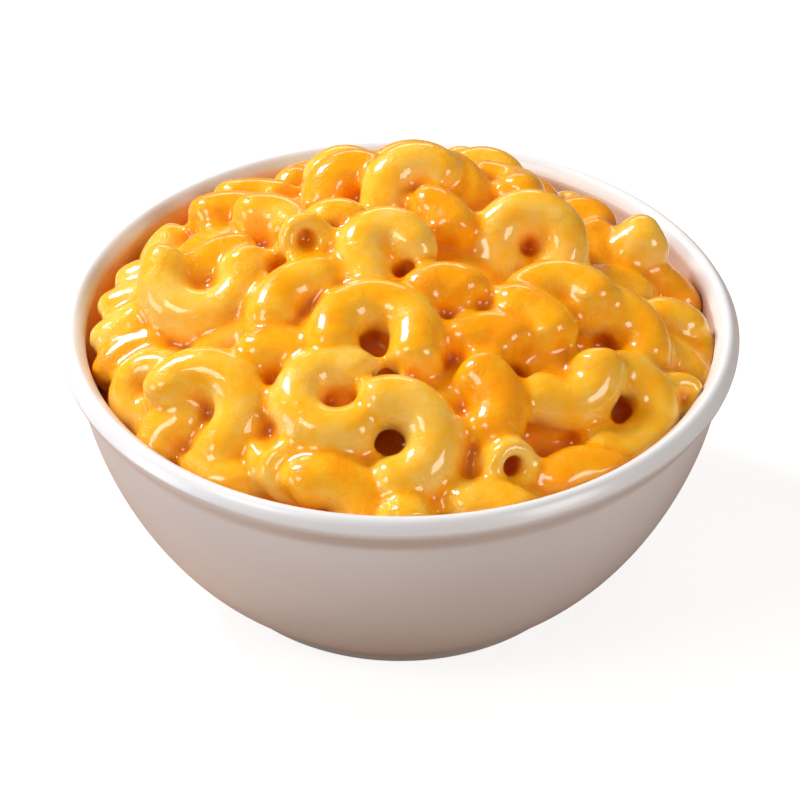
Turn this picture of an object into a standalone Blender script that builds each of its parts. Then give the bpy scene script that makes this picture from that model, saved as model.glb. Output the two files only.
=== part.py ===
"""A bowl of macaroni and cheese.

A glazed serving bowl on a low foot ring, and the heap of sauced elbow macaroni that it holds.
Metres, +Z up. The origin is the middle of the foot, on the surface that the bowl stands on.
"""

import math
import random

import bmesh
import bpy

# Bowl
RIM_RADIUS = 0.0700
BOWL_HEIGHT = 0.0600
LIP_WIDTH = 0.0050
LIP_ROUND = 0.0024
LIP_CURL = 0.0042
WALL_TOP_RADIUS = 0.0672
FOOT_RADIUS = 0.0428
FOOT_HEIGHT = 0.0038
FOOT_RING_WIDTH = 0.0050
FOOT_EDGE = 0.0005
FOOT_RECESS = 0.0022
FLOOR_HEIGHT = 0.0075
FLOOR_RADIUS = 0.0360
WALL_SWELL = 1.70
WALL_EASE = 0.72

# Heap of macaroni
HEAP_GAP = 0.0003
HEAP_EDGE = 0.0500
HEAP_RISE = 0.0235
HEAP_TOP = 0.0840
HEAP_BACK_LEAN = 0.40
ELBOW_COUNT = 36
ELBOW_TUBE = 0.0060
ELBOW_BEND = 0.0072
ELBOW_SWEEP = math.radians(190)
ELBOW_RISE = 0.0066
ELBOW_TILT = 0.35
ELBOW_FULLNESS = 0.75
EDGE_GUTTER = 0.0035
LAYOUT_SEED = 5
LAYOUT_TRIES = 24

# Fineness
BOWL_STEPS = 60
OUTER_POINTS = 10
INNER_POINTS = 8
LIP_POINTS = 8
CURL_POINTS = 4
HEAP_CELLS = 44
HEAP_SIDE_RINGS = 4
STATION_CROWDING = 1.5
MERGE = 0.00005
SHARP_ANGLE = math.radians(60)

LIP_MIDDLE_RADIUS = RIM_RADIUS - LIP_WIDTH / 2
LIP_SIDE_HEIGHT = BOWL_HEIGHT - LIP_ROUND
INNER_TOP_RADIUS = RIM_RADIUS - LIP_WIDTH
WALL_TOP_HEIGHT = LIP_SIDE_HEIGHT - LIP_CURL


def clear_scene():
    for thing in list(bpy.data.objects):
        bpy.data.objects.remove(thing, do_unlink=True)


def material(name, colour, roughness, metallic=0.0):
    made = bpy.data.materials.new(name)
    made.use_nodes = True
    shader = made.node_tree.nodes["Principled BSDF"]
    shader.inputs["Base Color"].default_value = (*colour, 1.0)
    shader.inputs["Roughness"].default_value = roughness
    shader.inputs["Metallic"].default_value = metallic
    return made


def swell(fraction):
    """How far out a bowl wall has come, 0 to 1, at a fraction of its height."""
    return (1 - (1 - fraction) ** WALL_SWELL) ** WALL_EASE


def outer_radius(height):
    fraction = (height - FOOT_HEIGHT) / (WALL_TOP_HEIGHT - FOOT_HEIGHT)
    return FOOT_RADIUS + (WALL_TOP_RADIUS - FOOT_RADIUS) * swell(fraction)


def inner_radius(height):
    fraction = (height - FLOOR_HEIGHT) / (LIP_SIDE_HEIGHT - FLOOR_HEIGHT)
    return FLOOR_RADIUS + (INNER_TOP_RADIUS - FLOOR_RADIUS) * swell(fraction)


def stations(low, high, count):
    """Heights from low to high, closer together near the low end, where a wall turns fastest."""
    return [low + (high - low) * (i / (count - 1)) ** STATION_CROWDING for i in range(count)]


def bowl_profile():
    """Half section of the bowl: up the inside, over the lip, down the outside and under the foot."""
    points = [(0.0, FLOOR_HEIGHT)]
    for height in stations(FLOOR_HEIGHT, LIP_SIDE_HEIGHT, INNER_POINTS):
        points.append((inner_radius(height), height))
    for i in range(1, LIP_POINTS + 1):
        turn = math.pi * (1 - i / LIP_POINTS)
        radius = LIP_MIDDLE_RADIUS + LIP_WIDTH / 2 * math.cos(turn)
        points.append((radius, LIP_SIDE_HEIGHT + LIP_ROUND * math.sin(turn)))
    for i in range(1, CURL_POINTS):
        fraction = i / CURL_POINTS
        ease = (1 + math.cos(math.pi * fraction)) / 2
        radius = WALL_TOP_RADIUS + (RIM_RADIUS - WALL_TOP_RADIUS) * ease
        points.append((radius, LIP_SIDE_HEIGHT - LIP_CURL * fraction))
    for height in reversed(stations(FOOT_HEIGHT, WALL_TOP_HEIGHT, OUTER_POINTS)):
        points.append((outer_radius(height), height))
    ring_inside = FOOT_RADIUS - FOOT_RING_WIDTH
    points += [
        (FOOT_RADIUS - FOOT_EDGE / 2, FOOT_EDGE),
        (FOOT_RADIUS - 2 * FOOT_EDGE, 0.0),
        (ring_inside + FOOT_EDGE, 0.0),
        (ring_inside, FOOT_EDGE),
        (ring_inside - FOOT_EDGE, FOOT_RECESS),
        (0.0, FOOT_RECESS),
    ]
    return points


def turned(name, profile, steps):
    """A solid turned from a half section, shaded smooth but for its sharp edges."""
    mesh = bpy.data.meshes.new(name)
    positions = [(radius, 0.0, height) for radius, height in profile]
    edges = [(i, i + 1) for i in range(len(profile) - 1)]
    mesh.from_pydata(positions, edges, [])
    solid = bpy.data.objects.new(name, mesh)
    screw = solid.modifiers.new("turn", "SCREW")
    screw.axis = "Z"
    screw.angle = math.tau
    screw.steps = steps
    screw.render_steps = steps
    screw.use_merge_vertices = True
    screw.merge_threshold = MERGE
    screw.use_smooth_shade = True
    return solid


def elbow_layout():
    """Where the top elbows lie: their middles, spread evenly, each with its own turn and tilt."""
    dice = random.Random(LAYOUT_SEED)
    reach = heap_edge_radius() - EDGE_GUTTER - ELBOW_TUBE
    middles = []
    for _ in range(ELBOW_COUNT):
        tries = []
        for _ in range(LAYOUT_TRIES):
            radius = reach * math.sqrt(dice.random())
            angle = dice.uniform(0, math.tau)
            tries.append((radius * math.cos(angle), radius * math.sin(angle)))
        middles.append(max(tries, key=lambda spot: nearest_distance(spot, middles)))
    return [(spot, dice.uniform(0, math.tau), dice.uniform(-ELBOW_TILT, ELBOW_TILT)) for spot in middles]


def nearest_distance(spot, others):
    return min((math.dist(spot, other) for other in others), default=0.0)


def elbow_ridge(x, y, elbow):
    """Height of one curved tube above the dome at a point of the plan, or 0 outside it."""
    middle, direction, tilt = elbow
    away_x, away_y = x - middle[0], y - middle[1]
    turn = math.remainder(math.atan2(away_y, away_x) - direction, math.tau)
    turn = max(-ELBOW_SWEEP / 2, min(ELBOW_SWEEP / 2, turn))
    nearest_x = ELBOW_BEND * math.cos(direction + turn)
    nearest_y = ELBOW_BEND * math.sin(direction + turn)
    distance = math.hypot(away_x - nearest_x, away_y - nearest_y)
    if distance >= ELBOW_TUBE:
        return 0.0
    along = 1 + tilt * turn / (ELBOW_SWEEP / 2)
    return ELBOW_RISE * along * (1 - (distance / ELBOW_TUBE) ** 2) ** ELBOW_FULLNESS


def heap_edge_radius():
    return inner_radius(HEAP_EDGE) - HEAP_GAP


def heap_height(x, y, elbows):
    """Height of the heap's top: a dome, with the elbows' ridges on it down to a gutter at the wall."""
    from_middle = math.hypot(x, y)
    fall = max(0.0, 1 - (from_middle / heap_edge_radius()) ** 2)
    lean = 1 + HEAP_BACK_LEAN * y / heap_edge_radius()
    ridge = max(elbow_ridge(x, y, elbow) for elbow in elbows)
    fade = (heap_edge_radius() - from_middle) / EDGE_GUTTER - 1
    return HEAP_EDGE + HEAP_RISE * fall * lean + ridge * max(0.0, min(1.0, fade))


def shape_heap_top(shape):
    """Round the square sheet off to a disc and raise its elbows, the tallest to the stated height."""
    elbows = elbow_layout()
    for vertex in shape.verts:
        across, along = vertex.co.x, vertex.co.y
        vertex.co.x = heap_edge_radius() * across * math.sqrt(1 - along ** 2 / 2)
        vertex.co.y = heap_edge_radius() * along * math.sqrt(1 - across ** 2 / 2)
        vertex.co.z = heap_height(vertex.co.x, vertex.co.y, elbows)
    stretch = (HEAP_TOP - HEAP_EDGE) / (max(v.co.z for v in shape.verts) - HEAP_EDGE)
    for vertex in shape.verts:
        vertex.co.z = HEAP_EDGE + (vertex.co.z - HEAP_EDGE) * stretch


def shape_heap_side(shape):
    """Carry the sheet's edge down the inside of the bowl in rings, and close it across the floor."""
    rim = [edge for edge in shape.edges if edge.is_boundary]
    levels = stations(FLOOR_HEIGHT + HEAP_GAP, HEAP_EDGE, HEAP_SIDE_RINGS + 1)[:-1]
    for height in reversed(levels):
        grown = bmesh.ops.extrude_edge_only(shape, edges=rim)["geom"]
        rim = [item for item in grown if isinstance(item, bmesh.types.BMEdge)]
        radius = inner_radius(height) - 2 * HEAP_GAP
        for vertex in (item for item in grown if isinstance(item, bmesh.types.BMVert)):
            scale = radius / math.hypot(vertex.co.x, vertex.co.y)
            vertex.co = (vertex.co.x * scale, vertex.co.y * scale, height + HEAP_GAP)
    bmesh.ops.holes_fill(shape, edges=rim)
    bmesh.ops.recalc_face_normals(shape, faces=shape.faces)


def heap_of_macaroni(name):
    """The whole heap as one solid, from a square sheet laid over the bowl."""
    shape = bmesh.new()
    bmesh.ops.create_grid(shape, x_segments=HEAP_CELLS, y_segments=HEAP_CELLS, size=1)
    shape_heap_top(shape)
    shape_heap_side(shape)
    mesh = bpy.data.meshes.new(name)
    shape.to_mesh(mesh)
    shape.free()
    mesh.shade_smooth()
    mesh.set_sharp_from_angle(angle=SHARP_ANGLE)
    return bpy.data.objects.new(name, mesh)


def main():
    clear_scene()
    dish = bpy.data.collections.new("macaroni_and_cheese_bowl")
    bpy.context.scene.collection.children.link(dish)

    bowl = turned("bowl", bowl_profile(), BOWL_STEPS)
    bowl.data.materials.append(material("white_glaze", (0.86, 0.84, 0.83), 0.25))
    dish.objects.link(bowl)

    heap = heap_of_macaroni("macaroni_heap")
    heap.data.materials.append(material("cheese_sauce", (0.91, 0.46, 0.06), 0.30))
    dish.objects.link(heap)


main()
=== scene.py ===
"""Macaroni and cheese heaped in a white stoneware bowl.

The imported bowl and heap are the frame. Three finished pieces stand for them: the turned and
glazed bowl, the macaroni with the sauce that clings to it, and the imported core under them.
The table of elbows is in millimetres and degrees; meshes are in metres.
"""

import math
import random
from typing import NamedTuple

import bmesh
import bpy
from mathutils import Matrix, Vector


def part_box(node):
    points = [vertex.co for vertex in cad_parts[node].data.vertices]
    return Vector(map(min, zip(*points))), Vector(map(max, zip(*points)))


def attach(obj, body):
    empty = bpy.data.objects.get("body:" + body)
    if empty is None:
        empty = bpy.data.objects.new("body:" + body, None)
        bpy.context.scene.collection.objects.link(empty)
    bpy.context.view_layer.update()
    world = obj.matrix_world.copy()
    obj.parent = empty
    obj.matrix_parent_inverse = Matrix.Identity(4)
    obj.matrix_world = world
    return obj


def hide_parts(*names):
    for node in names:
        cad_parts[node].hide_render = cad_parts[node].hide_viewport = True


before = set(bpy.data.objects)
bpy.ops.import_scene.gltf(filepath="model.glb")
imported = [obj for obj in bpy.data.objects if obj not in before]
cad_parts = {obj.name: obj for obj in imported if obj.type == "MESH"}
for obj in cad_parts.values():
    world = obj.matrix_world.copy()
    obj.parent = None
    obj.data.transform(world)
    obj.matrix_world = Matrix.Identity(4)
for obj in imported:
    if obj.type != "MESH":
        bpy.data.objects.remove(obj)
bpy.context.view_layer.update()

MM = 0.001

# ---- the bowl's turned outline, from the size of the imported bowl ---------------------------

BOWL_LOW, BOWL_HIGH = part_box("bowl")
RIM_RADIUS = BOWL_HIGH[0]
BOWL_HEIGHT = BOWL_HIGH[2]
LIP_WIDTH = 5.0 * MM
LIP_ROUND = 2.4 * MM
LIP_CURL = 4.2 * MM
LIP_LEAN = 1.12
CURL_RUN = 6.4 * MM
WALL_TOP_RADIUS = RIM_RADIUS - 2.8 * MM
FOOT_RADIUS = 42.8 * MM
FOOT_HEIGHT = 3.8 * MM
FOOT_RING_WIDTH = 5.0 * MM
FOOT_EDGE = 0.5 * MM
FOOT_RECESS = 2.2 * MM
FLOOR_HEIGHT = 7.5 * MM
FLOOR_RADIUS = 36.0 * MM
WALL_SWELL = 1.70
WALL_EASE = 0.72
BOWL_STEPS = 256

LIP_SIDE_HEIGHT = BOWL_HEIGHT - LIP_ROUND
INNER_TOP_RADIUS = RIM_RADIUS - LIP_WIDTH
WALL_TOP_HEIGHT = LIP_SIDE_HEIGHT - LIP_CURL

# ---- the heap of macaroni ------------------------------------------------------------------

HEAP_LOW, HEAP_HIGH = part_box("macaroni_heap")
HEAP_RADIUS = 64.0 * MM
HEAP_SHOULDER = 53.0 * MM
HEAP_RISE = 23.5 * MM
HEAP_BACK_LEAN = 0.40
POOL_DEPTH = 5.4 * MM
POOL_FLOOR = 39.5 * MM
UNDERSIDE_SLACK = 0.6 * MM
CORE_GAP = 0.2 * MM
CORE_LAP = 1.6 * MM
CORE_STEPS = 96
WALL_GAP = -0.15 * MM
FILL_REACH = 1.05 * MM
COAT_VOXEL = 0.66 * MM


class Elbow(NamedTuple):
    """One piece of macaroni: a tube bent along an arc, laid on the heap's dome.

    at is the plan place of its middle, lift its height over the dome, and lean and toward tilt
    the plane that it bends in. middle is the bearing of the outside of the bend in that plane.
    hole is the radius of its open ends and deep how far in they go; 0 is an end closed by sauce.
    """

    at: tuple
    lift: float = 0
    lean: float = 0
    toward: float = -90
    middle: float = 90
    sweep: float = 180
    bend: float = 7.2
    tails: tuple = (0, 0)
    tube: float = 5.4
    hole: float = 0
    deep: float = 12
    sauce: float = 0.35


HAND_LAID = [
    Elbow(at=(2.9, -46.6), lift=2, lean=35, middle=17, sweep=194, bend=8.1, tails=(3.0, 0.5), sauce=0.2),  # 0
    Elbow(at=(-15.4, -38.6), lift=2, lean=15, middle=172, sweep=240, bend=7.7, tails=(0, 2.5), tube=5.0, sauce=0.15),  # 1
    Elbow(at=(-5, -20), lean=15, middle=90, sweep=190, bend=8.3, tails=(6, 3), sauce=0.5),  # 2
    Elbow(at=(-3, 0), lean=25, middle=95, sweep=200, bend=5.3, tails=(0, 7), sauce=0.2),  # 3
    Elbow(at=(26.8, 8.8), lift=-2.5, lean=45, middle=90, sweep=310, bend=7.3, tube=5.3, sauce=0.2),  # 4
    Elbow(at=(48.5, 17), lift=-1.0, lean=62, toward=-90, middle=140, sweep=40, bend=16, tails=(1.5, 3), tube=6.2, sauce=0.25),  # 5
    Elbow(at=(31, -9), lean=15, middle=100, sweep=165, bend=8, tails=(0, 2), sauce=0.5),  # 6
    Elbow(at=(9, -12), lift=-1, lean=15, middle=90, sweep=110, bend=6, sauce=0.8),  # 7
    Elbow(at=(17, -23), lift=-1, lean=15, middle=90, sweep=100, bend=7, sauce=0.85),  # 8
    Elbow(at=(44.5, -11.5), lift=1, lean=25, toward=-60, middle=60, sweep=130, bend=8.5, tails=(2, 2), sauce=0.6),  # 9
    Elbow(at=(2.0, 25.8), lift=1.0, lean=40, toward=-80, middle=112, sweep=130, bend=7.0, tails=(1.5, 5), sauce=0.25),  # 10
    Elbow(at=(12.5, 25.5), lift=-3, lean=30, middle=15, sweep=140, bend=6.5, sauce=0.7),  # 11
    Elbow(at=(-12, 30), lift=-2, lean=40, middle=120, sweep=150, bend=6.5, sauce=0.6),  # 12
    Elbow(at=(-12, 42), lift=-2, lean=40, middle=90, sweep=150, bend=5, sauce=0.2),  # 13
    Elbow(at=(-13, 10), lift=-2, lean=60, middle=90, sweep=120, bend=4.5, tube=4.8),  # 14
    Elbow(at=(-36, 28), lift=-2, lean=5, middle=90, sweep=80, bend=10, sauce=0.7),  # 15
    Elbow(at=(-32, 42), lift=-3, lean=-10, middle=90, sweep=80, bend=10, sauce=0.6),  # 16
    Elbow(at=(-26, 17), lift=-3, lean=10, middle=60, sweep=120, bend=7),  # 17
    Elbow(at=(-19.5, 2), lift=-4, lean=90, toward=10, middle=100, sweep=110, bend=8, tube=5.6, hole=2.2, deep=0.8),  # 18
    Elbow(at=(-50, 26), lift=-3, lean=30, toward=180, middle=150, sweep=90, bend=6, sauce=0.2),  # 19
    Elbow(at=(-40, -6), lift=1, lean=30, toward=-100, middle=-95, sweep=240, bend=8.5, sauce=0.2),  # 20
    Elbow(at=(-37, 3), lean=15, toward=-90, middle=120, sweep=70, bend=10, sauce=0.6),  # 21
    Elbow(at=(-52, 8), lean=20, toward=180, middle=90, sweep=60, bend=10, sauce=0.2),  # 22
    Elbow(at=(-55, 1), lean=20, toward=180, middle=90, sweep=60, bend=10, sauce=0.15),  # 23
    Elbow(at=(-56, -7), lean=30, toward=180, middle=100, sweep=60, bend=10, sauce=0.2),  # 24
    Elbow(at=(-22, -12), lean=20, middle=135, sweep=80, bend=10, tails=(2, 2), sauce=0.5),  # 25
    Elbow(at=(-24, -25), lift=-1, lean=20, middle=90, sweep=80, bend=8, sauce=0.6),  # 26
    Elbow(at=(-36.2, -32.3), lift=1.5, lean=35, toward=-110, middle=55, sweep=190, bend=8.4, tails=(6, 0), sauce=0.3),  # 27
    Elbow(at=(-50.4, -24), lift=-1.5, lean=35, toward=-120, middle=150, sweep=270, bend=5.4, tube=4.3, sauce=0.2),  # 28
    Elbow(at=(-45, -36), lift=-2.5, lean=40, toward=-120, middle=130, sweep=120, bend=6),  # 29
    Elbow(at=(-23.0, -47.2), lift=-3.8, lean=37, toward=90, middle=55, sweep=110, bend=5, tails=(1.0, 0), tube=6.3, hole=3.0, deep=3, sauce=0.2),  # 30
    Elbow(at=(-12.2, -55), lift=0, lean=45, toward=-90, middle=70, sweep=120, bend=7.5, tails=(4, 0), sauce=0.6),  # 31
    Elbow(at=(18, -37.5), lift=0.5, lean=25, toward=-75, middle=15, sweep=70, bend=10, tails=(3, 2), tube=5.8, sauce=0.8),  # 32
    Elbow(at=(35.4, -32.5), lift=1, lean=40, toward=-80, middle=-50, sweep=110, bend=7, tails=(4.5, 2), sauce=0.35),  # 33
    Elbow(at=(19.5, -48), lift=-5, lean=90, toward=25, middle=130, sweep=100, bend=8, hole=2.2, deep=5, sauce=0.2),  # 34
    Elbow(at=(17.5, -58), lift=-1, lean=30, middle=80, sweep=90, bend=9),  # 35
    Elbow(at=(1, -60.5), lift=-1.5, lean=90, toward=0, middle=150, sweep=60, bend=9, sauce=0.2),  # 36
    Elbow(at=(35.2, -49.2), lift=-0.3, lean=40, toward=-70, middle=100, sweep=110, bend=8, sauce=0.85),  # 37
    Elbow(at=(47.5, -32), lean=35, toward=-60, middle=0, sweep=190, bend=8, tails=(0, 1), tube=4.7),  # 38
    Elbow(at=(55, -25), lift=-4, lean=90, toward=20, middle=110, sweep=100, bend=7, hole=2.0, deep=1.2, sauce=0.25),  # 39
    Elbow(at=(56, -4), lean=20, toward=-30, middle=80, sweep=100, bend=5, sauce=0.3),  # 40
    Elbow(at=(59, -6), lift=-2, lean=30, toward=-30, middle=60, sweep=120, bend=6, sauce=0.35),  # 41
    Elbow(at=(56, 13), lift=-3, lean=30, toward=0, middle=60, sweep=120, bend=6, sauce=0.85),  # 42
    Elbow(at=(39, 29), lift=-3, lean=40, middle=90, sweep=180, bend=3.5, sauce=0.8),  # 43
    Elbow(at=(27, 40), lift=-4, lean=10, middle=60, sweep=120, bend=6, sauce=0.7),  # 44
    Elbow(at=(18, 46), lift=-1, lean=20, middle=90, sweep=150, bend=5.5, sauce=0.25),  # 45
    Elbow(at=(44, -39), lift=-2, lean=40, toward=-60, middle=-60, sweep=120, bend=8, sauce=0.3),  # 46
    Elbow(at=(25.5, -16.5), lift=0, lean=15, middle=60, sweep=70, bend=9, tails=(3, 0), tube=5.7, sauce=0.6),  # 47
    Elbow(at=(57, -14), lift=-3, lean=30, toward=-30, middle=60, sweep=90, bend=8),  # 48
    Elbow(at=(41, 18), lift=-5, lean=30, toward=-30, middle=0, sweep=90, bend=8, sauce=0.8),  # 49
    Elbow(at=(-53.5, -13), lift=-2.5, lean=25, toward=-120, middle=110, sweep=110, bend=7, sauce=0.7),  # 50
    Elbow(at=(12.9, -46.6), lift=-6, lean=20, middle=120, sweep=90, bend=6, sauce=0.6),  # 51
    Elbow(at=(31, -26), lift=-4, lean=20, toward=-90, middle=80, sweep=60, bend=10, sauce=0.8),  # 52
    Elbow(at=(8.5, 11.5), lift=-2.4, lean=15, middle=40, sweep=90, bend=7, sauce=0.8),  # 53
    Elbow(at=(2, 43.5), lift=-1.5, lean=20, middle=100, sweep=120, bend=7, sauce=0.6),  # 54
    Elbow(at=(10, 55), lift=-1.5, lean=20, middle=-70, sweep=110, bend=7, sauce=0.4),  # 55
    Elbow(at=(-35, -47), lift=-2.6, lean=20, toward=-120, middle=-125, sweep=80, bend=8, tube=4.8, sauce=0.4),  # 56
]

FILL_SEED = 7
FILL_TRIES = 4000
FILL_SPACING = 8.6
DEEP_SPACING = 6.6


def dome(x, y):
    """Height of the elbows' centre lines over the plan, in millimetres."""
    radius = HEAP_RADIUS / MM
    fall = max(0.0, 1 - (x * x + y * y) / radius**2)
    return HEAP_SHOULDER / MM + HEAP_RISE / MM * fall * (1 + HEAP_BACK_LEAN * y / radius)


def centre_line(elbow, steps=9):
    """Points along an elbow's middle, in millimetres."""
    length = elbow.bend * math.radians(elbow.sweep)
    middle = math.radians(elbow.middle)
    half = math.radians(elbow.sweep) / 2
    centroid = elbow.bend * math.sin(half) / half
    lean = math.radians(elbow.lean)
    toward = math.radians(elbow.toward)
    tilt = Matrix.Rotation(lean, 3, Vector((-math.sin(toward), math.cos(toward), 0)))
    base = Vector((*elbow.at, dome(*elbow.at) + elbow.lift))
    points = []
    for step in range(steps):
        run = -elbow.tails[0] + (length + sum(elbow.tails)) * step / (steps - 1)
        bent = min(max(run, 0), length)
        angle = middle - half + bent / elbow.bend
        outward = Vector((math.cos(angle), math.sin(angle), 0))
        onward = Vector((-outward.y, outward.x, 0))
        flat = elbow.bend * outward + (run - bent) * onward
        flat -= centroid * Vector((math.cos(middle), math.sin(middle), 0))
        points.append(base + tilt @ flat)
    return points


def wall_radius(height):
    """Inner radius of the bowl at a height, in metres."""
    climb = (height - FLOOR_HEIGHT) / (LIP_SIDE_HEIGHT - FLOOR_HEIGHT)
    return FLOOR_RADIUS + (INNER_TOP_RADIUS - FLOOR_RADIUS) * swell(climb)


def swell(climb):
    """How far the wall has swung out, 0 at its foot and 1 at its top."""
    climb = min(max(climb, 0.0), 1.0)
    return (1 - (1 - climb) ** WALL_SWELL) ** WALL_EASE


def filled_in(laid):
    """Adds seeded elbows wherever the laid ones leave room, on top and one layer down."""
    rng = random.Random(FILL_SEED)
    lines = [centre_line(elbow) for elbow in laid]
    added = []
    for attempt in range(FILL_TRIES):
        spread = 60.0 * math.sqrt(rng.random())
        bearing = rng.uniform(0, 2 * math.pi)
        deep = attempt > FILL_TRIES // 2
        elbow = Elbow(
            at=(spread * math.cos(bearing), spread * math.sin(bearing)),
            lift=rng.uniform(-6.8, -4.4) if deep else rng.uniform(-3.2, -0.8),
            lean=rng.uniform(5, 50),
            toward=math.degrees(bearing) + rng.uniform(-50, 50),
            middle=rng.uniform(0, 360),
            sweep=rng.uniform(90, 190),
            bend=rng.uniform(5.5, 8.5),
            tails=(rng.uniform(0, 3), rng.uniform(0, 3)),
            hole=2.2 if rng.random() < 0.3 else 0,
            deep=4,
            sauce=rng.uniform(0.2, 0.8),
        )
        line = centre_line(elbow)
        room = all(
            (point - other).length > (DEEP_SPACING if deep else FILL_SPACING)
            for other_line in lines
            for point in line
            for other in other_line
        )
        inside = all(
            math.hypot(point.x, point.y) + elbow.tube < wall_radius(point.z * MM) / MM + 0.5
            for point in line
        )
        if room and inside:
            lines.append(line)
            added.append(elbow)
    return added


# ---- node trees ----------------------------------------------------------------------------


class Wire:
    """One output of a node. Arithmetic on it adds Math nodes to the same tree."""

    def __init__(self, bench, socket):
        self.bench = bench
        self.socket = socket

    def output(self, name):
        """Another output of the same node."""
        return Wire(self.bench, self.socket.node.outputs[name])

    def math(self, operation, *terms, clamp=False):
        settings = {"operation": operation, "use_clamp": clamp}
        return self.bench.node("ShaderNodeMath", settings, dict(enumerate(terms)))

    def __add__(self, other):
        return self.math("ADD", self, other)

    def __radd__(self, other):
        return self.math("ADD", other, self)

    def __sub__(self, other):
        return self.math("SUBTRACT", self, other)

    def __rsub__(self, other):
        return self.math("SUBTRACT", other, self)

    def __mul__(self, other):
        return self.math("MULTIPLY", self, other)

    def __rmul__(self, other):
        return self.math("MULTIPLY", other, self)

    def __truediv__(self, other):
        return self.math("DIVIDE", self, other)

    def __rtruediv__(self, other):
        return self.math("DIVIDE", other, self)

    def __pow__(self, other):
        return self.math("POWER", self, other)

    def __neg__(self):
        return self.math("MULTIPLY", self, -1)

    def clamped(self, low=0.0, high=1.0):
        return self.math("MAXIMUM", self.math("MINIMUM", self, high), low)

    def size(self):
        return self.math("ABSOLUTE", self)

    def sine(self):
        return self.math("SINE", self)

    def cosine(self):
        return self.math("COSINE", self)

    def sign(self):
        return self.math("SIGN", self)

    def smooth(self, low, high):
        """0 below low, 1 above high, eased between."""
        values = {"Value": self, "From Min": low, "From Max": high}
        settings = {"interpolation_type": "SMOOTHSTEP"}
        return self.bench.node("ShaderNodeMapRange", settings, values)


class Bench:
    """A node tree being wired up."""

    def __init__(self, tree):
        self.tree = tree

    def node(self, kind, settings=None, sockets=None):
        """Adds a node: its settings first, then a value or a wire for each named socket."""
        made = self.tree.nodes.new(kind)
        for name, value in (settings or {}).items():
            setattr(made, name, value)
        for name, value in (sockets or {}).items():
            if isinstance(name, int):
                target = made.inputs[name]
            else:
                target = next(s for s in made.inputs if s.name == name and s.enabled)
            if isinstance(value, Wire):
                self.tree.links.new(value.socket, target)
            else:
                target.default_value = value
        first = next((s for s in made.outputs if s.enabled), None)
        return Wire(self, first) if first else made

    def vector(self, operation, *terms, **named):
        sockets = {**dict(enumerate(terms)), **named}
        return self.node("ShaderNodeVectorMath", {"operation": operation}, sockets)

    def scaled(self, vector, factor):
        return self.vector("SCALE", vector, Scale=factor)

    def combined(self, x=0.0, y=0.0, z=0.0):
        return self.node("ShaderNodeCombineXYZ", None, {"X": x, "Y": y, "Z": z})

    def parts(self, vector):
        split = self.node("ShaderNodeSeparateXYZ", None, {"Vector": vector})
        return split, split.output("Y"), split.output("Z")

    def blend(self, factor, first, second, how="MIX"):
        """Mixes two colours."""
        settings = {"data_type": "RGBA", "blend_type": how}
        sockets = {"Factor": factor, "A": first, "B": second}
        return self.node("ShaderNodeMix", settings, sockets)

    def ramp(self, factor, stops):
        """A colour ramp through (place, colour) stops."""
        made = self.node("ShaderNodeValToRGB", None, {"Fac": factor})
        elements = made.socket.node.color_ramp.elements
        while len(elements) < len(stops):
            elements.new(0.5)
        for element, (place, colour) in zip(elements, stops):
            element.position = place
            element.color = colour
        return made


class Grower(Bench):
    """A Geometry Nodes tree with named inputs."""

    def __init__(self, name, sizes, links=()):
        super().__init__(bpy.data.node_groups.new(name, "GeometryNodeTree"))
        face = self.tree.interface
        face.new_socket("Geometry", in_out="INPUT", socket_type="NodeSocketGeometry")
        for label, value in sizes.items():
            kind = "NodeSocketInt" if isinstance(value, int) else "NodeSocketFloat"
            face.new_socket(label, in_out="INPUT", socket_type=kind).default_value = value
        for label, kind in links:
            face.new_socket(label, in_out="INPUT", socket_type=kind)
        face.new_socket("Geometry", in_out="OUTPUT", socket_type="NodeSocketGeometry")
        self.source = self.node("NodeGroupInput")

    def size(self, name):
        return self.source.output(name)

    def attribute(self, name, kind="FLOAT"):
        made = self.node("GeometryNodeInputNamedAttribute", {"data_type": kind}, {"Name": name})
        return made

    def stored(self, geometry, name, value, kind="FLOAT", domain="POINT"):
        settings = {"data_type": kind, "domain": domain}
        sockets = {"Geometry": geometry, "Name": name, "Value": value}
        return self.node("GeometryNodeStoreNamedAttribute", settings, sockets)

    def finish(self, geometry):
        """Ends the tree in Realize Instances and Set Material."""
        real = self.node("GeometryNodeRealizeInstances", None, {"Geometry": geometry})
        sockets = {"Geometry": real, "Material": self.size("Material")}
        dressed = self.node("GeometryNodeSetMaterial", None, sockets)
        self.node("NodeGroupOutput", None, {"Geometry": dressed})


def set_inputs(modifier, **values):
    """Sets a modifier's inputs by the socket's identifier."""
    for item in modifier.node_group.interface.items_tree:
        key = item.name.replace(" ", "_").lower()
        if item.in_out == "INPUT" and key in values:
            modifier[item.identifier] = values[key]


def settled(name, source):
    """A plain mesh object with the source's modifiers worked into it; the source goes."""
    depsgraph = bpy.context.evaluated_depsgraph_get()
    shown = source.evaluated_get(depsgraph)
    mesh = bpy.data.meshes.new_from_object(
        shown, preserve_all_data_layers=True, depsgraph=depsgraph
    )
    mesh.name = name
    bpy.data.objects.remove(source)
    return placed(name, mesh)


def placed(name, mesh):
    piece = bpy.data.objects.new(name, mesh)
    bpy.context.scene.collection.objects.link(piece)
    return piece


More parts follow.
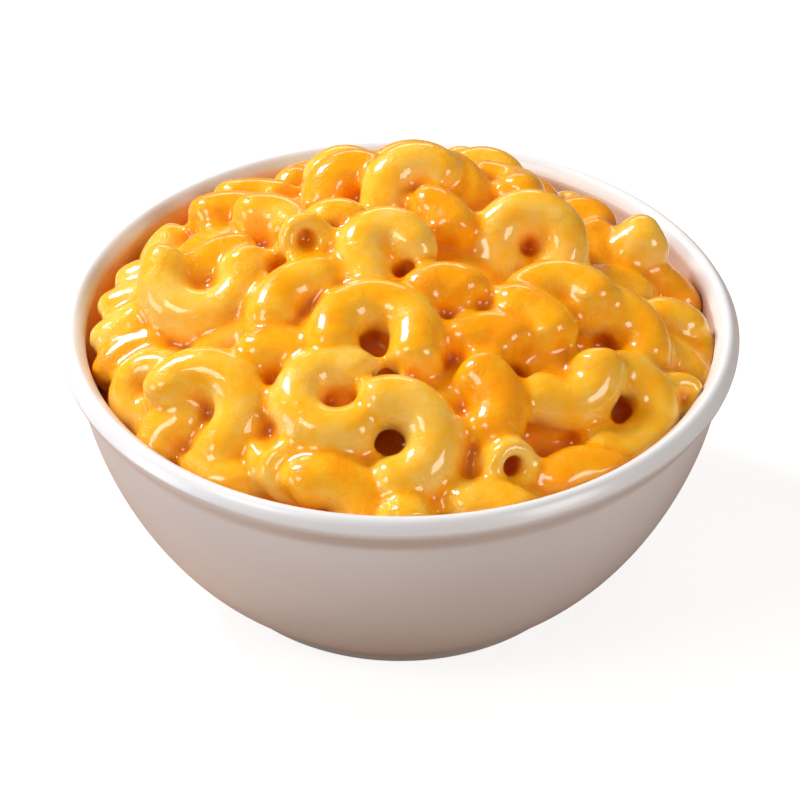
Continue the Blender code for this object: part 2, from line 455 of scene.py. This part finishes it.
def elbow_tree():
    """Bends one hollow tube for each point, by the sizes that the point carries."""
    grower = Grower(
        "macaroni elbows",
        {"Coat": 0.0, "Rings": 96, "Sides": 28, "Wall gap": 0.0, "Dimple": 0.9 * MM},
        links=[("Material", "NodeSocketMaterial")],
    )
    node = grower.node
    coat = grower.size("Coat")

    circles = []
    for label, count in (("turn", "Sides"), ("skin", "Rings")):
        circle = node(
            "GeometryNodeCurvePrimitiveCircle", None, {"Resolution": grower.size(count), "Radius": 1.0}
        )
        here = node("GeometryNodeInputPosition")
        circles.append(grower.stored(circle, label, here, kind="FLOAT_VECTOR"))
    sockets = {"Curve": circles[0], "Profile Curve": circles[1]}
    tube = node("GeometryNodeCurveToMesh", None, sockets)

    here = node("GeometryNodeInputPosition")
    points = grower.stored(grower.size("Geometry"), "place", here, kind="FLOAT_VECTOR")
    laid = node("GeometryNodeInstanceOnPoints", None, {"Points": points, "Instance": tube})
    real = node("GeometryNodeRealizeInstances", None, {"Geometry": laid})

    # Across the wall of the tube, and on past its rounded ends.
    straight = 0.80
    along, side, _ = grower.parts(grower.attribute("skin", "FLOAT_VECTOR"))
    run = (along / straight).clamped(-1, 1)
    lip = (along.size() - straight).clamped(0, 1) * (math.pi / 2 / (1 - straight))
    tube_radius = grower.attribute("tube")
    hole_radius = grower.attribute("hole")
    open_end = hole_radius.math("GREATER_THAN", hole_radius, 0.1 * MM)
    half_wall = (tube_radius - hole_radius) * 0.5
    cap_length = tube_radius * 0.72

    # Along the bend.
    bend = grower.attribute("bend")
    sweep = grower.attribute("sweep")
    middle = grower.attribute("middle")
    tail_a = grower.attribute("tail_a")
    tail_b = grower.attribute("tail_b")
    length = bend * sweep
    inset = cap_length + (half_wall - cap_length) * open_end - tube_radius * 0.45
    span = length + tail_a + tail_b - inset * 2

    closing = ((1 - run.size()) * span * 0.5 / grower.attribute("deep")).smooth(0.8, 1.0)
    inner = (hole_radius - coat) * (1 - closing)
    outer_ring = (tube_radius + hole_radius) * 0.5 + (half_wall + coat) * lip.cosine()
    inner_ring = inner + half_wall * (1 - lip.cosine())
    cap_ring = (tube_radius + coat) * lip.cosine()
    outside = side.math("GREATER_THAN", side, 0.0)
    open_ring = inner_ring + (outer_ring - inner_ring) * outside
    ring = cap_ring * outside + (open_ring - cap_ring * outside) * open_end
    dimple = (1 - lip.cosine().smooth(0.0, 0.55)) * grower.size("Dimple")
    cap = (cap_length + coat) * lip.sine() - dimple
    beyond = cap + ((half_wall + coat) * lip.sine() - cap) * open_end
    distance = inset - tail_a + span * (run + 1) * 0.5 + beyond * along.sign()
    bent = distance.math("MAXIMUM", distance.math("MINIMUM", distance, length), 0.0)
    angle = middle - sweep * 0.5 + bent / bend
    outward = grower.combined(angle.cosine(), angle.sine(), 0.0)
    onward = grower.combined(-angle.sine(), angle.cosine(), 0.0)
    around, over, _ = grower.parts(grower.attribute("turn", "FLOAT_VECTOR"))
    across = grower.scaled(outward, bend + ring * around)
    past = grower.scaled(onward, distance - bent)
    raised = grower.combined(0.0, 0.0, ring * over)
    centroid = bend * (sweep * 0.5).sine() / (sweep * 0.5)
    bearing = grower.combined(middle.cosine(), middle.sine(), 0.0)
    flat = grower.vector("ADD", across, grower.vector("ADD", past, raised))
    flat = grower.vector("SUBTRACT", flat, grower.scaled(bearing, centroid))

    # Tilted, put in its place and pressed against the bowl's wall.
    toward = grower.attribute("toward")
    axis = grower.combined(-toward.sine(), toward.cosine(), 0.0)
    tilted = node(
        "ShaderNodeVectorRotate",
        {"rotation_type": "AXIS_ANGLE"},
        {"Vector": flat, "Axis": axis, "Angle": grower.attribute("lean")},
    )
    spot = grower.vector("ADD", tilted, grower.attribute("place", "FLOAT_VECTOR"))
    spot = inside_wall(grower, spot, coat - grower.size("Wall gap"))
    bent_tubes = node("GeometryNodeSetPosition", None, {"Geometry": real, "Position": spot})
    grower.finish(bent_tubes)
    return grower.tree


def inside_wall(grower, spot, slack):
    """Keeps a place within the bowl's inner wall, plus some slack."""
    x, y, z = grower.parts(spot)
    climb = ((z - FLOOR_HEIGHT) / (LIP_SIDE_HEIGHT - FLOOR_HEIGHT)).clamped(0, 1)
    swung = (1 - (1 - climb) ** WALL_SWELL) ** WALL_EASE
    over_lip = (z.smooth(BOWL_HEIGHT - 2.0 * MM, BOWL_HEIGHT + 0.5 * MM)) * (2.4 * MM)
    reach = FLOOR_RADIUS + swung * (INNER_TOP_RADIUS - FLOOR_RADIUS) + slack + over_lip
    radius = (x * x + y * y) ** 0.5
    hold = (reach / radius).clamped(0, 1)
    return grower.combined(x * hold, y * hold, z)


def coat_tree():
    """Finishes the sauce's skin: eases it, ripples it and stores what its colour needs."""
    grower = Grower(
        "sauce coat",
        {"Ripple": 0.12 * MM, "Ripple size": 6.0 * MM, "Fill reach": FILL_REACH},
        links=[("Bare", "NodeSocketObject"), ("Material", "NodeSocketMaterial")],
    )
    node = grower.node
    here = node("GeometryNodeInputPosition")
    normal = node("GeometryNodeInputNormal")
    eased = node(
        "GeometryNodeBlurAttribute",
        {"data_type": "FLOAT_VECTOR"},
        {"Value": here, "Iterations": 2},
    )
    skin = node("GeometryNodeSetPosition", None, {"Geometry": grower.size("Geometry"), "Position": eased})

    ripple = node(
        "ShaderNodeTexNoise",
        {"noise_dimensions": "3D"},
        {"Vector": here, "Scale": 1 / grower.size("Ripple size"), "Detail": 2.0, "Roughness": 0.5},
    )
    swellings = grower.scaled(normal, (ripple - 0.5) * 2 * grower.size("Ripple"))
    skin = node("GeometryNodeSetPosition", None, {"Geometry": skin, "Offset": swellings})

    bare = node("GeometryNodeObjectInfo", {"transform_space": "RELATIVE"}, {"Object": grower.size("Bare")})
    bare = bare.output("Geometry")
    near = node("GeometryNodeProximity", {"target_element": "FACES"}, {"Geometry": bare})
    depth = near.output("Distance") / grower.size("Fill reach")
    skin = grower.stored(skin, "depth", depth.clamped())
    tone = node(
        "GeometryNodeSampleNearestSurface",
        {"data_type": "FLOAT"},
        {"Mesh": bare, "Value": grower.attribute("sauce")},
    )
    skin = grower.stored(skin, "tone", tone)
    # hollow: how far each point lies below its widely blurred neighbours, which the material turns into painted shade.
    wide = node(
        "GeometryNodeBlurAttribute",
        {"data_type": "FLOAT_VECTOR"},
        {"Value": here, "Iterations": 24},
    )
    hollow = grower.vector("DOT_PRODUCT", grower.vector("SUBTRACT", wide, here), normal)
    skin = grower.stored(skin, "hollow", hollow / MM)
    skin = grower.stored(skin, "upward", grower.parts(normal)[2])
    grower.finish(skin)
    return grower.tree


# ---- materials -----------------------------------------------------------------------------


def srgb(text):
    """A linear colour from a web colour."""
    channels = [int(text[i : i + 2], 16) / 255 for i in (0, 2, 4)]
    linear = [c / 12.92 if c <= 0.04045 else ((c + 0.055) / 1.055) ** 2.4 for c in channels]
    return (*linear, 1.0)


def new_material(name, constants):
    """A material with one Principled shader; returns its bench and the shader node."""
    material = bpy.data.materials.new(name)
    material.use_nodes = True
    tree = material.node_tree
    tree.nodes.clear()
    bench = Bench(tree)
    shader = tree.nodes.new("ShaderNodeBsdfPrincipled")
    for label, value in constants.items():
        shader.inputs[label].default_value = value
    out = tree.nodes.new("ShaderNodeOutputMaterial")
    tree.links.new(shader.outputs[0], out.inputs["Surface"])
    return material, bench, shader


def feed(bench, shader, **wires):
    for label, wire in wires.items():
        target = shader.inputs[label.replace("_", " ")]
        bench.tree.links.new(wire.socket, target)


def noise(bench, place, size, detail=3.0, roughness=0.55, stretch=None):
    """Noise whose lumps are about size across, in metres."""
    if stretch:
        place = bench.vector("MULTIPLY", place, stretch)
    sockets = {"Vector": place, "Scale": 1 / size, "Detail": detail, "Roughness": roughness}
    return bench.node("ShaderNodeTexNoise", {"noise_dimensions": "3D"}, sockets)


def bumped(bench, height, depth, strength=1.0, under=None):
    sockets = {"Strength": strength, "Distance": depth, "Height": height}
    if under:
        sockets["Normal"] = under
    return bench.node("ShaderNodeBump", None, sockets)


def cheese_material():
    """Cheese sauce over pasta: pale where it is thin, deep orange where it gathers, with painted shade in the hollows.
    """
    material, bench, shader = new_material(
        "cheese sauce on macaroni",
        {
            "IOR": 1.46,
            "Specular IOR Level": 0.18,
            "Subsurface Weight": 0.35,
            "Subsurface Radius": (1.0, 0.55, 0.15),
            "Subsurface Scale": 1.8 * MM,
            "Coat Roughness": 0.04,
            "Coat IOR": 1.48,
        },
    )
    place = bench.node("ShaderNodeTexCoord").output("Object")

    def stored(name):
        return bench.node("ShaderNodeAttribute", {"attribute_name": name}).output("Fac")

    depth, tone = stored("depth"), stored("tone")
    hollow, upward = stored("hollow"), stored("upward")
    blotch = noise(bench, place, 7 * MM, detail=3, roughness=0.6)
    streak = noise(bench, place, 2.2 * MM, detail=3, roughness=0.6)
    sauced = tone + (blotch - 0.5) * 1.5 + (streak - 0.5) * 0.5 + depth * 0.5
    sauced = (sauced + (upward - 0.6) * 0.35).clamped()
    colour = bench.ramp(
        sauced,
        [
            (0.0, srgb("F5C75C")),
            (0.35, srgb("F9B92E")),
            (0.7, srgb("FCAB0A")),
            (1.0, srgb("FA9C03")),
        ],
    )
    # Painted shade: hollows and creases turn a deeper, then a darker orange, as if in shade.
    colour = bench.blend(hollow.smooth(-0.05, 0.65) * 0.65, colour, srgb("F39208"))
    colour = bench.blend(hollow.smooth(0.4, 1.1) * 0.8, colour, srgb("D05C02"))
    fine = noise(bench, place, 0.55 * MM, detail=2, roughness=0.6)
    dimples = bumped(bench, noise(bench, place, 3.2 * MM, detail=2, roughness=0.5), 0.06 * MM)
    patches = noise(bench, place, 5.0 * MM, detail=1).smooth(0.48, 0.6)
    grain = bumped(bench, fine * (0.1 + patches), 0.16 * MM, under=dimples)
    rough = 0.22 + (streak - 0.5) * 0.18 + sauced * 0.04
    feed(bench, shader, Base_Color=colour, Roughness=rough, Normal=grain)
    feed(bench, shader, Coat_Weight=(1.0 - blotch * 0.4).clamped())
    return material


def glaze_material():
    """White glossy glaze over stoneware, bare clay under the foot."""
    material, bench, shader = new_material(
        "white glaze", {"IOR": 1.5, "Coat IOR": 1.5, "Coat Roughness": 0.16}
    )
    place = bench.node("ShaderNodeTexCoord").output("Object")
    height = bench.parts(place)[2]
    cloud = noise(bench, place, 18 * MM, detail=3)
    speck = noise(bench, place, 0.8 * MM, detail=1)
    colour = bench.blend(cloud, srgb("E0E0E3"), srgb("E7E7E9"))
    colour = bench.blend(speck.smooth(0.72, 0.80) * 0.25, colour, srgb("CFC8C0"))
    x, y, _ = bench.parts(place)
    inside = 1 - ((x * x + y * y) ** 0.5).smooth(INNER_TOP_RADIUS, INNER_TOP_RADIUS + 0.8 * MM)
    # Orange tint on the inner wall just above the food: partly a sauce smear, partly painted reflection of the food and
    # painted shade, stronger on the left side that faces away from the key light.
    smear_and_painted_bounce = inside * height.smooth(46 * MM, 49 * MM) * (1.25 - height.smooth(50 * MM, 60 * MM) + cloud * 0.5)
    painted_shade_left = 0.30 + (-x).smooth(-0.02, 0.06) * 0.5
    colour = bench.blend((smear_and_painted_bounce * painted_shade_left).clamped(), colour, srgb("E39B4C"))
    bare = 1 - height.smooth(0.25 * MM, 0.75 * MM)
    colour = bench.blend(bare, colour, srgb("D9CDBB"))
    rough = 0.34 + (cloud - 0.5) * 0.08 + bare * 0.4
    peel = noise(bench, place, 3.0 * MM, detail=2)
    feed(bench, shader, Base_Color=colour, Roughness=rough, Normal=bumped(bench, peel, 0.02 * MM))
    feed(bench, shader, Coat_Weight=(0.3 - bare * 0.3).clamped())
    return material


def floor_material():
    material, bench, shader = new_material(
        "pale floor",
        {"Specular IOR Level": 0.2, "Emission Color": srgb("FFFEFD"), "Emission Strength": 0.8},
    )
    place = bench.node("ShaderNodeTexCoord").output("Object")
    cloud = noise(bench, place, 0.25, detail=2)
    colour = bench.blend(cloud, srgb("9A9A9A"), srgb("A0A0A0"))
    feed(bench, shader, Base_Color=colour, Roughness=0.55 + cloud * 0.1)
    bounce = bench.node("ShaderNodeBsdfDiffuse", None, {"Color": srgb("AE8E78")})
    seen = bench.node("ShaderNodeLightPath")
    out = bench.node("ShaderNodeMixShader", None, {"Fac": seen, 1: bounce})
    links = bench.tree.links
    links.new(shader.outputs[0], out.socket.node.inputs[2])
    links.new(out.socket, bench.tree.nodes["Material Output"].inputs["Surface"])
    return material


# ---- meshes --------------------------------------------------------------------------------


def stations(low, high, count, crowding=1.5):
    """Values from low to high, crowded towards low."""
    return [low + (high - low) * (i / (count - 1)) ** crowding for i in range(count)]


def outer_radius(height):
    climb = (height - FOOT_HEIGHT) / (WALL_TOP_HEIGHT - FOOT_HEIGHT)
    return FOOT_RADIUS + (WALL_TOP_RADIUS - FOOT_RADIUS) * swell(climb)


def bowl_outline():
    """(radius, height) all round the bowl's wall, from the middle inside to the middle below."""
    inside = [(0.0, FLOOR_HEIGHT)]
    inside += [(wall_radius(z), z) for z in stations(FLOOR_HEIGHT, LIP_SIDE_HEIGHT, 64)]
    lip = []
    for step in range(1, 24):
        across = (1 - math.cos(math.pi * step / 24)) / 2
        radius = INNER_TOP_RADIUS + LIP_WIDTH * across
        lip.append((radius, LIP_SIDE_HEIGHT + LIP_ROUND * math.sin(math.pi * across**LIP_LEAN) ** 0.9))
    curl = []
    for step in range(17):
        height = LIP_SIDE_HEIGHT - CURL_RUN * step / 16
        ease = (1 - math.cos(math.pi * step / 16)) / 2
        curl.append((RIM_RADIUS + (outer_radius(height) - RIM_RADIUS) * ease, height))
    outside = [(outer_radius(z), z) for z in stations(FOOT_HEIGHT, LIP_SIDE_HEIGHT - CURL_RUN, 64)]
    ring_out = FOOT_RADIUS - FOOT_EDGE / 2
    ring_in = FOOT_RADIUS - FOOT_RING_WIDTH
    foot = [
        (ring_out, FOOT_EDGE),
        (ring_out - 1.5 * FOOT_EDGE, 0.0),
        (ring_in + FOOT_EDGE, 0.0),
        (ring_in, FOOT_EDGE),
        (ring_in - FOOT_EDGE, FOOT_RECESS),
        (0.0, FOOT_RECESS),
    ]
    return inside + lip + curl + outside[-2::-1] + foot


def turned(name, outline, steps):
    """Turns an outline that starts and ends on the axis into a closed mesh."""
    bm = bmesh.new()
    rows = []
    for radius, height in outline:
        if radius == 0:
            rows.append([bm.verts.new((0, 0, height))] * steps)
            continue
        turns = [2 * math.pi * i / steps for i in range(steps)]
        rows.append([bm.verts.new((radius * math.cos(a), radius * math.sin(a), height)) for a in turns])
    for low, high in zip(rows, rows[1:]):
        for i in range(steps):
            j = (i + 1) % steps
            corners = [low[i], low[j], high[j], high[i]]
            bm.faces.new(list(dict.fromkeys(corners)))
    bmesh.ops.recalc_face_normals(bm, faces=bm.faces)
    for face in bm.faces:
        face.smooth = True
    mesh = bpy.data.meshes.new(name)
    bm.to_mesh(mesh)
    bm.free()
    return mesh


def pool_mesh(name, depth, floor_height, slack):
    """The closed dome under the top elbows, out to the wall."""
    steps, rings = 96, 24
    bm = bmesh.new()
    rows = []
    for ring in range(rings + 1):
        row = []
        for i in range(steps):
            angle = 2 * math.pi * i / steps
            share = ring / rings
            x = HEAP_RADIUS / MM * share * math.cos(angle)
            y = HEAP_RADIUS / MM * share * math.sin(angle)
            z = dome(x, y) * MM - depth
            limit = wall_radius(z) - WALL_GAP + slack
            hold = min(1.0, limit / max(math.hypot(x, y) * MM, 1e-9))
            row.append((x * MM * hold, y * MM * hold, z))
        rows.append(row)
    top = bm.verts.new(rows[0][0])
    loops = [[top] * steps] + [[bm.verts.new(p) for p in row] for row in rows[1:]]
    rim = wall_radius(floor_height) - WALL_GAP + slack
    low = []
    for i in range(steps):
        angle = 2 * math.pi * i / steps
        low.append(bm.verts.new((rim * math.cos(angle), rim * math.sin(angle), floor_height)))
    loops.append(low)
    loops.append([bm.verts.new((0, 0, floor_height))] * steps)
    for upper, lower in zip(loops, loops[1:]):
        for i in range(steps):
            j = (i + 1) % steps
            bm.faces.new(list(dict.fromkeys([upper[i], lower[i], lower[j], upper[j]])))
    bmesh.ops.recalc_face_normals(bm, faces=bm.faces)
    mesh = bpy.data.meshes.new(name)
    bm.to_mesh(mesh)
    bm.free()
    return mesh


def core_mesh(name):
    """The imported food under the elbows: the bowl's inside filled to just above the pool's floor."""
    top = POOL_FLOOR + CORE_LAP
    side = [(wall_radius(z) - CORE_GAP, z) for z in stations(FLOOR_HEIGHT + CORE_GAP, top, 24)]
    mesh = turned(name, [(0.0, FLOOR_HEIGHT + CORE_GAP), *side, (0.0, top)], CORE_STEPS)
    for label, value in (("depth", 1.0), ("tone", 0.5), ("hollow", 0.0), ("upward", 0.0)):
        layer = mesh.attributes.new(label, "FLOAT", "POINT")
        layer.data.foreach_set("value", [value] * len(mesh.vertices))
    return mesh


def point_cloud(name, elbows):
    """One vertex for each elbow, carrying its sizes in metres and radians."""
    mesh = bpy.data.meshes.new(name)
    places = [(x * MM, y * MM, (dome(x, y) + e.lift) * MM) for e in elbows for x, y in [e.at]]
    mesh.from_pydata(places, [], [])
    carried = {
        "lean": [math.radians(e.lean) for e in elbows],
        "toward": [math.radians(e.toward) for e in elbows],
        "middle": [math.radians(e.middle) for e in elbows],
        "sweep": [math.radians(e.sweep) for e in elbows],
        "bend": [e.bend * MM for e in elbows],
        "tail_a": [e.tails[0] * MM for e in elbows],
        "tail_b": [e.tails[1] * MM for e in elbows],
        "tube": [e.tube * MM for e in elbows],
        "hole": [e.hole * MM for e in elbows],
        "deep": [e.deep * MM for e in elbows],
        "sauce": [e.sauce for e in elbows],
    }
    for label, values in carried.items():
        layer = mesh.attributes.new(label, "FLOAT", "POINT")
        layer.data.foreach_set("value", values)
    return mesh


def bent_elbows(name, elbows, tree, coat, material):
    source = placed(name, point_cloud(name, elbows))
    modifier = source.modifiers.new("elbows", "NODES")
    modifier.node_group = tree
    set_inputs(modifier, coat=coat, wall_gap=WALL_GAP, material=material)
    return settled(name, source)


def drop_crumbs(mesh):
    """Joins up the flat underside and removes stray bits beside the one big skin."""
    bm = bmesh.new()
    bm.from_mesh(mesh)
    bm.normal_update()
    below = POOL_FLOOR + FILL_REACH + UNDERSIDE_SLACK
    flat = [
        face
        for face in bm.faces
        if face.normal.z < -0.96 and face.calc_center_median().z < below
    ]
    bmesh.ops.dissolve_faces(bm, faces=flat, use_verts=True)
    unseen = set(bm.verts)
    crumbs = []
    while unseen:
        edge_of_island = [unseen.pop()]
        island = list(edge_of_island)
        while edge_of_island:
            vert = edge_of_island.pop()
            for edge in vert.link_edges:
                other = edge.other_vert(vert)
                if other in unseen:
                    unseen.remove(other)
                    edge_of_island.append(other)
                    island.append(other)
        if len(island) < len(bm.verts) / 2:
            crumbs += island
    bmesh.ops.delete(bm, geom=crumbs, context="VERTS")
    bm.to_mesh(mesh)
    bm.free()


def sauced_macaroni(elbows, material):
    """The elbows under one skin of sauce, which rounds the creases where they touch."""
    tree = elbow_tree()
    bare = bent_elbows("bare macaroni", elbows, tree, 0.0, material)
    swollen = bent_elbows("swollen macaroni", elbows, tree, FILL_REACH, material)

    merged = bmesh.new()
    merged.from_mesh(swollen.data)
    merged.from_mesh(pool_mesh("pool", POOL_DEPTH - FILL_REACH, POOL_FLOOR, FILL_REACH))
    lump = bpy.data.meshes.new("lump")
    merged.to_mesh(lump)
    merged.free()
    bpy.data.objects.remove(swollen)

    skin = placed("skin", lump)
    remesh = skin.modifiers.new("fuse", "REMESH")
    remesh.mode = "VOXEL"
    remesh.voxel_size = COAT_VOXEL
    shrink = skin.modifiers.new("shrink", "DISPLACE")
    shrink.strength = -FILL_REACH
    shrink.mid_level = 0.0
    again = skin.modifiers.new("even out", "REMESH")
    again.mode = "VOXEL"
    again.voxel_size = COAT_VOXEL
    again.use_smooth_shade = True
    finish = skin.modifiers.new("coat", "NODES")
    finish.node_group = coat_tree()
    set_inputs(finish, bare=bare, material=material)
    piece = settled("sauced_macaroni", skin)
    bpy.data.objects.remove(bare)
    drop_crumbs(piece.data)
    return piece


def area_light(name, place, aim, size, power, colour=(1, 1, 1)):
    data = bpy.data.lights.new(name, "AREA")
    data.shape = "RECTANGLE"
    data.size, data.size_y = size
    data.energy = power
    data.color = colour
    light = bpy.data.objects.new(name, data)
    light.location = place
    light.rotation_euler = (Vector(aim) - Vector(place)).to_track_quat("-Z", "Y").to_euler()
    bpy.context.scene.collection.objects.link(light)
    return light


# ---- the pieces ----------------------------------------------------------------------------

elbows = HAND_LAID + filled_in(HAND_LAID)

bowl = placed("glazed_bowl", turned("glazed_bowl", bowl_outline(), BOWL_STEPS))
bowl.data.materials.append(glaze_material())
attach(bowl, "root")
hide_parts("bowl")

cheese = cheese_material()
macaroni = sauced_macaroni(elbows, cheese)
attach(macaroni, "root")
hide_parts("macaroni_heap")

core = placed("packed_core", core_mesh("packed_core"))
core.data.materials.append(cheese)
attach(core, "root")
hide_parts("macaroni_heap")

# ---- the studio ----------------------------------------------------------------------------

floor = placed("floor", bpy.data.meshes.new("floor"))
FLOOR_HALF = 3.0
corners = [(-1, -1), (1, -1), (1, 1), (-1, 1)]
floor.data.from_pydata([(x * FLOOR_HALF, y * FLOOR_HALF, 0) for x, y in corners], [], [(0, 1, 2, 3)])
floor.data.materials.append(floor_material())

AIM = (0.0, 0.0, 0.045)
area_light("key softbox", (-0.45, 0.36, 0.60), AIM, (0.15, 0.26), 6.5)
area_light("side softbox", (-0.75, -0.20, 0.16), AIM, (0.3, 0.3), 1.7, (0.82, 0.91, 1.0))
area_light("front fill", (-0.52, -0.40, 0.66), AIM, (0.28, 0.28), 2.2)
area_light("right fill", (0.60, -0.50, 0.45), AIM, (0.34, 0.34), 2.9)
area_light("back strip", (-0.05, 0.75, 0.38), AIM, (0.5, 0.15), 0.7)

world = bpy.data.worlds.new("studio")
world.use_nodes = True
world.node_tree.nodes["Background"].inputs["Color"].default_value = (1.0, 0.87, 0.75, 1.0)
world.node_tree.nodes["Background"].inputs["Strength"].default_value = 0.20
scene = bpy.context.scene
scene.world = world
scene.view_settings.view_transform = "Standard"

camera = bpy.data.objects.new("camera", bpy.data.cameras.new("camera"))
camera.location = (0.0, -0.3924, 0.3299)
camera.rotation_euler = (math.radians(53.2), 0.0, 0.0)
camera.data.lens = 103.5
camera.data.sensor_width = 36.0
camera.data.clip_start = 0.01
bpy.context.scene.collection.objects.link(camera)
scene.camera = camera
